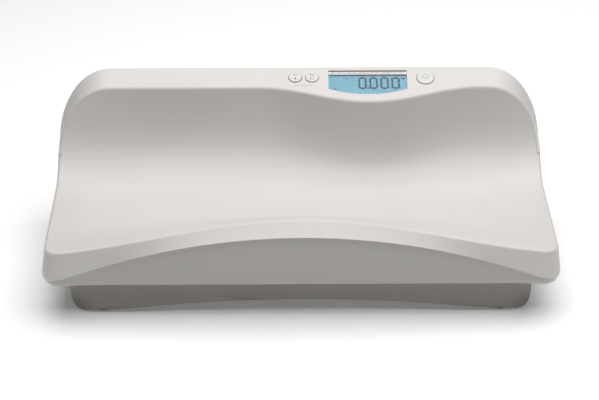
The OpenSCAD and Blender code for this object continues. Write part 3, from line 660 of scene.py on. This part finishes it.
def plate(name, outline, w0, w1, material=None):
    """A flat plate of that outline on the console, from depth w0 to depth w1."""
    n = len(outline)
    points = [on_console(x, u, w) for w in (w0, w1) for x, u in outline]
    faces = [tuple(range(n)), tuple(range(2 * n - 1, n - 1, -1))]
    faces += [(k, n + k, n + (k + 1) % n, (k + 1) % n) for k in range(n)]
    return mesh_object(name, points, faces, material)


def cut(obj, *cutters):
    """Cuts each cutter's form out of the object and removes the cutters."""
    for cutter in cutters:
        modifier = obj.modifiers.new("cut", "BOOLEAN")
        modifier.operation = "DIFFERENCE"
        modifier.solver = "EXACT"
        modifier.object = cutter
    settled(obj)
    for cutter in cutters:
        bpy.data.objects.remove(cutter)
    return obj


def joined(name, pieces):
    """Several pieces as one, with their materials kept."""
    materials = []
    work = bmesh.new()
    for piece in pieces:
        first = len(work.faces)
        work.from_mesh(piece.data)
        work.faces.ensure_lookup_table()
        own = list(piece.data.materials)
        for m in own:
            if m not in materials:
                materials.append(m)
        for face in work.faces[first:]:
            face.material_index = materials.index(own[face.material_index])
        bpy.data.objects.remove(piece)
    mesh = bpy.data.meshes.new(name)
    work.to_mesh(mesh)
    work.free()
    for m in materials:
        mesh.materials.append(m)
    obj = bpy.data.objects.new(name, mesh)
    bpy.context.scene.collection.objects.link(obj)
    return obj


# ---------------------------------------------------------------- tray
FIT = 0.2
CUT_ABOVE = -4.0
CUT_BELOW = WALL + 2
tray = tray_shell()
holes = [plate("window_pocket", window_outline(-FIT, -FIT), CUT_ABOVE, WINDOW_T + FIT),
         plate("window_opening", window_outline(WINDOW_LEDGE, STRIP_H), -1, CUT_BELOW)]
for hole_x, hole_u, hole_d in (POWER_BUTTON, LEFT_BUTTON, RIGHT_BUTTON):
    hole = circle_outline(hole_x, hole_u, hole_d / 2 + BUTTON_GAP)
    holes.append(plate("button_hole", hole, CUT_ABOVE, CUT_BELOW))
cut(tray, *holes)
smooth(tray, 40)
place(tray, "housing", "tray_plastic", "weighing_tray")


# ---------------------------------------------------------------- base and battery cover
finished_copy("base_housing", "housing", "base_plastic", grey_abs, 25)
finished_copy("battery_cover", "battery_door", "base_plastic", grey_abs, 25)


# ---------------------------------------------------------------- display
PRINT_T = 0.05
PANE_TOP_W = 0.1
FACE_W0 = WINDOW_T + 0.02
FACE_W1 = WINDOW_T + 0.12
FACE_INSET = 0.1
MARK_W0 = FACE_W0 - 0.13
MARK_W1 = FACE_W0 - 0.03
DIGITS = 4
DIGIT_PITCH = 14.2
DIGIT_X = 102.9 - (DIGITS - 1) / 2 * DIGIT_PITCH
DIGIT_U = 31.0
DIGIT_H = 17.8
STRIP_INSET = 0.2
STRIP_OVERLAP = 1.2
UPPER_LINE_H = 2.4
LOWER_LINE_GAP = 0.4
LOWER_LINE_H = 1.6
STRIP_LOW_W = 0.08

window = plate("window_pane", window_outline(0, 0), PANE_TOP_W, WINDOW_T, window_acrylic)
smooth(window, 20)
place(window, "housing", "window_clear", "display_window")

face = plate("crystal_face", window_outline(FACE_INSET, FACE_INSET), FACE_W0, FACE_W1, lcd_face)
place(face, "housing", "lcd_glass")


def display_strip():
    """The pale strip above the crystal, printed between two dark lines. The lower line is blue up
    to the digits."""
    left = DISPLAY_X - WINDOW_W / 2 + STRIP_INSET
    right = DISPLAY_X + WINDOW_W / 2 - STRIP_INSET
    middle = DIGIT_X - DIGIT_PITCH / 2
    top = WINDOW_TOP + STRIP_INSET
    end = top + STRIP_H + STRIP_OVERLAP
    low = top + STRIP_H + LOWER_LINE_GAP
    low_end = low + LOWER_LINE_H
    over = -2 * PRINT_T
    return joined("display_strip", [
        plate("pale", box_outline(left, right, top, end), -PRINT_T, STRIP_LOW_W, strip_print),
        plate("upper", box_outline(left, right, top, top + UPPER_LINE_H), over, -PRINT_T,
              line_print),
        plate("lower", box_outline(left, middle, low, low_end), over, STRIP_LOW_W, blue_print),
        plate("dark", box_outline(middle, right, low, low_end), over, STRIP_LOW_W, line_print),
    ])


place(display_strip(), "housing", "window_clear")


# ---------------------------------------------------------------- geometry nodes helpers
def new_tree(name, inputs):
    """A Geometry Nodes tree with its named inputs and one geometry output."""
    tree = bpy.data.node_groups.new(name, "GeometryNodeTree")
    tree.interface.new_socket("Geometry", in_out="INPUT", socket_type="NodeSocketGeometry")
    for label, (kind, value) in inputs.items():
        socket = tree.interface.new_socket(label, in_out="INPUT", socket_type="NodeSocket" + kind)
        socket.default_value = value
    tree.interface.new_socket("Geometry", in_out="OUTPUT", socket_type="NodeSocketGeometry")
    return tree, add(tree, "NodeGroupInput")


def end_tree(tree, geometry, material):
    """Ends a tree as the export needs it: real copies, with their material."""
    real = add(tree, "GeometryNodeRealizeInstances", inputs={"Geometry": geometry})
    dressed = add(tree, "GeometryNodeSetMaterial", inputs={"Geometry": real.outputs["Geometry"],
                                                          "Material": material})
    add(tree, "NodeGroupOutput", inputs={"Geometry": dressed.outputs["Geometry"]})
    return tree


def grown(name, tree, points, values):
    """Runs a tree on points in millimetres, with its inputs set, and keeps the plain mesh."""
    obj = mesh_object(name, points, [])
    modifier = obj.modifiers.new("grow", "NODES")
    modifier.node_group = tree
    for item in tree.interface.items_tree:
        if item.in_out == "INPUT" and item.name in values:
            modifier[item.identifier] = values[item.name]
    return settled(obj)


# ---------------------------------------------------------------- display: digits and marks
def digit_tree():
    """Zeros in seven segments: two upright pairs, a top and a bottom bar, in a row of digits."""
    tree, given = new_tree("zero_digits", {
        "Digits": ("Int", 1), "Pitch": ("Float", 0.01), "Width": ("Float", 0.008),
        "Height": ("Float", 0.02), "Stroke": ("Float", 0.002), "Bar": ("Float", 0.003),
        "Thickness": ("Float", 0.0001)})
    width, height = given.outputs["Width"], given.outputs["Height"]
    stroke, thickness = given.outputs["Stroke"], given.outputs["Thickness"]
    half_w = math_node(tree, "MULTIPLY", width, 0.5)
    half_h = math_node(tree, "MULTIPLY", height, 0.5)
    quarter = math_node(tree, "MULTIPLY", height, 0.25)
    bar_l = math_node(tree, "SUBTRACT", width, stroke)
    gap = math_node(tree, "MULTIPLY", stroke, 0.25)
    post_l = math_node(tree, "SUBTRACT", half_h, gap)
    bar_size = vector_node(tree, bar_l, given.outputs["Bar"], thickness)
    post_size = vector_node(tree, stroke, post_l, thickness)
    bar = add(tree, "GeometryNodeMeshCube", inputs={"Size": bar_size})
    post = add(tree, "GeometryNodeMeshCube", inputs={"Size": post_size})
    parts = add(tree, "GeometryNodeJoinGeometry")

    def put(piece, x, y):
        moved = add(tree, "GeometryNodeTransform", inputs={"Geometry": piece.outputs["Mesh"],
                                                           "Translation": vector_node(tree, x, y)})
        tree.links.new(moved.outputs["Geometry"], parts.inputs["Geometry"])

    for sign in (-1, 1):
        put(bar, 0.0, math_node(tree, "MULTIPLY", half_h, sign))
        for side in (-1, 1):
            put(post, math_node(tree, "MULTIPLY", half_w, side),
                math_node(tree, "MULTIPLY", quarter, sign))
    line = add(tree, "GeometryNodeMeshLine",
               inputs={"Count": given.outputs["Digits"],
                       "Offset": vector_node(tree, given.outputs["Pitch"])})
    copies = add(tree, "GeometryNodeInstanceOnPoints",
                 inputs={"Points": line.outputs["Mesh"], "Instance": parts.outputs["Geometry"]})
    return end_tree(tree, copies.outputs["Instances"], lcd_digit)


def laid_on_console(obj, x, u, w):
    """Lays a flat piece, drawn about its own origin in metres, on the console at that place."""
    obj.data.transform(Matrix.Rotation(SLOPE, 4, "X"))
    obj.data.transform(Matrix.Translation([c * MM for c in on_console(x, u, w)]))
    return obj


digits = grown("crystal_digits", digit_tree(), [(0, 0, 0)],
               {"Digits": DIGITS, "Pitch": DIGIT_PITCH * MM, "Width": 8.4 * MM,
                "Height": DIGIT_H * MM, "Stroke": 2.5 * MM, "Bar": 3.0 * MM,
                "Thickness": 0.1 * MM})
laid_on_console(digits, DIGIT_X, DIGIT_U, FACE_W0 - 0.08)
place(digits, "housing", "lcd_glass")


def crystal_marks():
    """The decimal point, the unit's mark at the upper right and the small marks at the left. Each
    spot is a place along the width, one down the slope, a width and a height."""
    point_u = DIGIT_U + DIGIT_H / 2 - 0.3
    spots = [
        (DIGIT_X + DIGIT_PITCH / 2, point_u, 2.5, 3.0),
        (134.3, 23.4, 5.0, 2.2),
        (60.0, 22.4, 1.8, 1.4),
        (62.6, 24.4, 1.8, 1.4),
        (69.4, 22.6, 1.6, 1.4),
        (69.4, 26.4, 1.6, 1.4),
        (45.9, 41.0, 3.8, 1.5),
    ]
    marks = []
    for x, u, wide, high in spots:
        shape = box_outline(x - wide / 2, x + wide / 2, u - high / 2, u + high / 2)
        marks.append(plate("mark", shape, MARK_W0, MARK_W1, lcd_digit))
    return joined("crystal_marks", marks)


place(crystal_marks(), "housing", "lcd_glass")


def dash_tree():
    """A row of printed dashes of uneven length, which stand for fine print at this distance."""
    tree, given = new_tree("print_dashes", {
        "Count": ("Int", 10), "Pitch": ("Float", 0.002), "Length": ("Float", 0.001),
        "Height": ("Float", 0.0005), "Thickness": ("Float", 0.0001)})
    line = add(tree, "GeometryNodeMeshLine",
               inputs={"Count": given.outputs["Count"],
                       "Offset": vector_node(tree, given.outputs["Pitch"])})
    size = vector_node(tree, given.outputs["Length"], given.outputs["Height"],
                       given.outputs["Thickness"])
    dash = add(tree, "GeometryNodeMeshCube", inputs={"Size": size})
    spread = add(tree, "FunctionNodeRandomValue", {"data_type": "FLOAT"},
                 {"Min": 0.35, "Max": 1.5, "Seed": 7})
    copies = add(tree, "GeometryNodeInstanceOnPoints",
                 inputs={"Points": line.outputs["Mesh"], "Instance": dash.outputs["Mesh"],
                         "Scale": vector_node(tree, spread.outputs[1], 1.0, 1.0)})
    return end_tree(tree, copies.outputs["Instances"], dark_print)


DASHES = 38
DASH_PITCH = 2.5
DASH_DOWN = 4.7
dashes = grown("strip_dashes", dash_tree(), [(0, 0, 0)],
               {"Count": DASHES, "Pitch": DASH_PITCH * MM, "Length": 1.5 * MM,
                "Height": 1.5 * MM, "Thickness": PRINT_T * MM})
laid_on_console(dashes, DISPLAY_X - DASH_PITCH * (DASHES - 1) / 2, WINDOW_TOP + DASH_DOWN,
                -1.5 * PRINT_T)
place(dashes, "housing", "window_clear")


# ---------------------------------------------------------------- buttons
def lathe(name, profile, steps, material):
    """Turns a profile of (radius, height) points, both in millimetres, about its axis."""
    points = []
    faces = []
    for r, h in profile:
        for k in range(steps):
            a = 2 * math.pi * k / steps
            points.append((r * math.cos(a), r * math.sin(a), h))
    for m in range(len(profile) - 1):
        for k in range(steps):
            after = (k + 1) % steps
            faces.append((m * steps + k, m * steps + after, (m + 1) * steps + after,
                          (m + 1) * steps + k))
    first = tuple(range(steps))
    last = tuple(range((len(profile) - 1) * steps, len(profile) * steps))
    return mesh_object(name, points, faces + [first, last], material)


def dome_w(r, button_r):
    """Depth of the cap's domed top at a distance r from its middle."""
    dome_r = (button_r ** 2 + DOME_RISE ** 2) / (2 * DOME_RISE)
    return dome_r - math.sqrt(dome_r ** 2 - r * r) - CAP_RISE


EAR_GAP = 0.15
EAR_T = 1.3
EAR_REACH = 1.5
EAR_FLAT = 1.0
STEM_R = 3.0
STEM_L = 4.0
CAP_SOFT = 0.9
CAP_TIP_R = 0.2


def button_cap(name, x, u, d):
    """A domed cap with a soft shoulder, the ears that stop it and the stem below them. Its side is
    painted darker than its top, as painted shade, and two flats leave an ear on the left and on the
    right."""
    r = d / 2
    ear_top = WALL + EAR_GAP
    ear_low = ear_top + EAR_T
    shoulder = r - CAP_SOFT
    profile = [(CAP_TIP_R, -dome_w(CAP_TIP_R, r))]
    profile += [(shoulder * k / 10, -dome_w(shoulder * k / 10, r)) for k in range(1, 11)]
    edge = -dome_w(shoulder, r)
    for k in range(1, 7):
        a = math.pi / 2 * k / 6
        profile.append((shoulder + CAP_SOFT * math.sin(a), edge - CAP_SOFT * (1 - math.cos(a))))
    profile += [(r, -ear_top), (r + EAR_REACH, -ear_top), (r + EAR_REACH, -ear_low),
                (STEM_R, -ear_low), (STEM_R, -ear_low - STEM_L)]
    cap = lathe(name, profile, 96, button_abs)
    cap.data.materials.append(cap_side_shade)
    # painted shade: the cap's side faces take the dark colour
    for face in cap.data.polygons:
        out = math.hypot(face.center.x, face.center.y)
        if out > (r - 0.35) * MM and abs(face.normal.z) < 0.7:
            face.material_index = 1
    limit = (r - EAR_FLAT) * MM
    for point in cap.data.vertices:
        if point.co.z < -(ear_top - 0.05) * MM:
            point.co.y = max(-limit, min(limit, point.co.y))
    smooth(cap, 35)
    return laid_on_console(cap, x, u, 0)


for cap_name, body, spot in (("power_cap", "power_key", POWER_BUTTON),
                             ("left_cap", "left_function_key", LEFT_BUTTON),
                             ("right_cap", "right_function_key", RIGHT_BUTTON)):
    cad_node = body.replace("_key", "_button")
    place(button_cap(cap_name, *spot), body, "button_plastic", cad_node)


# ---------------------------------------------------------------- prints on the buttons
def arc_band(x, u, r, stroke, start, end, steps=48):
    """The outline of a band along an arc, from one angle to the other, in degrees."""
    turn = [math.radians(start + (end - start) * k / steps) for k in range(steps + 1)]
    outer, inner = [[(x + arc_r * math.cos(a), u + arc_r * math.sin(a)) for a in turn]
                    for arc_r in (r + stroke / 2, r - stroke / 2)]
    return outer + inner[::-1]


def cap_print(spot, marks, material):
    """Flat printed marks on a button. Each is its offset from the middle, a width and a height."""
    x, u, d = spot
    pieces = []
    for across, along, wide, high in marks:
        top = dome_w(math.hypot(across, along), d / 2) - PRINT_T
        shape = box_outline(x + across - wide / 2, x + across + wide / 2,
                            u + along - high / 2, u + along + high / 2)
        pieces.append(plate("mark", shape, top, top + 0.25, material))
    return pieces


def power_icon():
    """The usual ring, open at the top, with an upright bar through the opening."""
    x, u, d = POWER_BUTTON
    stroke = 0.9
    top = dome_w(3.6, d / 2) - PRINT_T
    ring = arc_band(x, u - 1.2, 3.5, stroke, -55, 235)
    bar = (0, -4.1, stroke, 4.2)
    return joined("power_icon", [plate("ring", ring, top - 0.02, top + 0.2, icon_print)]
                  + cap_print(POWER_BUTTON, [bar], icon_print))


place(power_icon(), "power_key", "button_plastic")
left_marks = cap_print(LEFT_BUTTON, [(0, -4.4, 6.0, 1.3), (0, -1.3, 4.4, 0.5)], icon_print)
left_marks += cap_print(LEFT_BUTTON, [(0, 3.0, 2.2, 2.6)], dark_print)
place(joined("left_marks", left_marks), "left_function_key", "button_plastic")
right_marks = cap_print(RIGHT_BUTTON, [(0, -4.4, 7.0, 1.3), (0, -1.6, 5.4, 0.5),
                                       (0, -0.2, 5.4, 0.5), (1.6, 2.6, 2.6, 0.5),
                                       (1.6, 3.8, 2.6, 0.5)], icon_print)
right_marks += cap_print(RIGHT_BUTTON, [(-1.6, 3.0, 1.8, 2.2)], dark_print)
place(joined("right_marks", right_marks), "right_function_key", "button_plastic")


def bracket():
    """The thin printed bracket that joins the two small buttons, with three plain dashes in it."""
    left, right = LEFT_BUTTON[0], RIGHT_BUTTON[0]
    middle = (left + right) / 2
    low = 35.8
    line = 0.45
    arm = 7.2
    hook = 2.0
    shapes = [box_outline(left, left + arm, low - line, low),
              box_outline(right - arm, right, low - line, low),
              box_outline(left, left + line, low - hook, low),
              box_outline(right - line, right, low - hook, low)]
    for k in (-2.4, 0, 2.4):
        shapes.append(box_outline(middle + k - 1.0, middle + k + 1.0, low - 0.9, low + 0.3))
    pieces = [plate("line", shape, -PRINT_T, 0.1, icon_print) for shape in shapes]
    return joined("button_bracket", pieces)


place(bracket(), "housing", "tray_plastic")


# ---------------------------------------------------------------- other CAD nodes
CAD_FINISHES = {
    "display_frame": ("inner_plastic", inner_abs),
    "lcd_panel": ("lcd_glass", lcd_glass),
    "backlight": ("light_guide", light_guide),
    "power_plunger": ("switch_plastic", switch_black),
    "left_function_plunger": ("switch_plastic", switch_black),
    "right_function_plunger": ("switch_plastic", switch_black),
    "switch_bodies": ("switch_plastic", switch_black),
    "control_board": ("board_laminate", board_green),
    "board_screws": ("screw_steel", zinc_steel),
    "batteries": ("cell_jacket", cell_wrap),
    "battery_springs": ("spring_steel", nickel_steel),
    "battery_plates": ("spring_steel", nickel_steel),
    "cell_clamps": ("inner_plastic", inner_abs),
    "cell_screws": ("screw_steel", zinc_steel),
    "foot_bushes": ("bush_brass", bush_brass),
    "housing_screws": ("screw_steel", zinc_steel),
    "power_socket": ("socket_plastic", socket_black),
}
for corner in ("front_left", "front_right", "back_left", "back_right"):
    CAD_FINISHES["load_cell_" + corner] = ("load_cell_steel", cell_steel)
    CAD_FINISHES["foot_stem_" + corner] = ("screw_steel", zinc_steel)
    CAD_FINISHES["foot_pad_" + corner] = ("pad_rubber", pad_rubber)
for node, (slot_name, material) in CAD_FINISHES.items():
    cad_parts[node].data.materials.clear()
    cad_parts[node].data.materials.append(material)


# ---------------------------------------------------------------- floor, light and camera
def floor_finish():
    """A light table: white acrylic that glows a little and shows soft shadows. It is clear from
    below, so that the underside can be looked at."""
    material, tree, shader = new_finish("studio_floor", "#F7F7F7", 0.6,
                                        **{"Emission Color": (1.0, 1.0, 1.0, 1.0),
                                           "Emission Strength": 0.13})
    side = add(tree, "ShaderNodeNewGeometry")
    clear = add(tree, "ShaderNodeBsdfTransparent")
    mix = add(tree, "ShaderNodeMixShader", inputs={0: side.outputs["Backfacing"],
                                                   1: shader.outputs["BSDF"],
                                                   2: clear.outputs["BSDF"]})
    tree.links.new(mix.outputs["Shader"], first_node(tree, "OUTPUT_MATERIAL").inputs["Surface"])
    return material


FLOOR_HALF = 6000.0
FLOOR_Z = -0.5
floor_corners = [(x * FLOOR_HALF, y * FLOOR_HALF, FLOOR_Z)
                 for x, y in ((-1, -1), (1, -1), (1, 1), (-1, 1))]
floor = mesh_object("floor", floor_corners, [(0, 1, 2, 3)], floor_finish())


def area_light(name, place_at, aim, size, power):
    """A square soft light that looks at a point. Places and size are in metres."""
    data = bpy.data.lights.new(name, "AREA")
    data.shape = "SQUARE"
    data.size = size
    data.energy = power
    light = bpy.data.objects.new(name, data)
    bpy.context.scene.collection.objects.link(light)
    light.location = place_at
    light.rotation_euler = (Vector(aim) - Vector(place_at)).to_track_quat("-Z", "Y").to_euler()
    return light


area_light("overhead", (0.3, 0.04, 2.0), (0.3, 0.04, 0), 3.0, 76)

world = bpy.data.worlds.new("studio")
bpy.context.scene.world = world
world.use_nodes = True
background = world.node_tree.nodes["Background"]
background.inputs["Color"].default_value = (1, 1, 1, 1)
background.inputs["Strength"].default_value = 0.02
bpy.context.scene.view_settings.view_transform = "Standard"

# The camera as it was fitted to the photograph's outlines.
CAMERA_AT = (-0.0259, -2.37419, 1.244198)
CAMERA_DOWN = math.radians(25.971)
CAMERA_YAW = math.radians(0.615)
IMAGE_W = 599
FOCAL_PX = 2098.75
SENSOR_MM = 36
camera_data = bpy.data.cameras.new("camera")
camera_data.sensor_width = SENSOR_MM
camera_data.lens = SENSOR_MM * FOCAL_PX / IMAGE_W
camera_data.shift_x = -0.5 / IMAGE_W
camera_data.clip_start = 0.05
camera = bpy.data.objects.new("camera", camera_data)
bpy.context.scene.collection.objects.link(camera)
camera.location = CAMERA_AT
camera.rotation_euler = (math.pi / 2 - CAMERA_DOWN, 0, -CAMERA_YAW)
bpy.context.scene.camera = camera
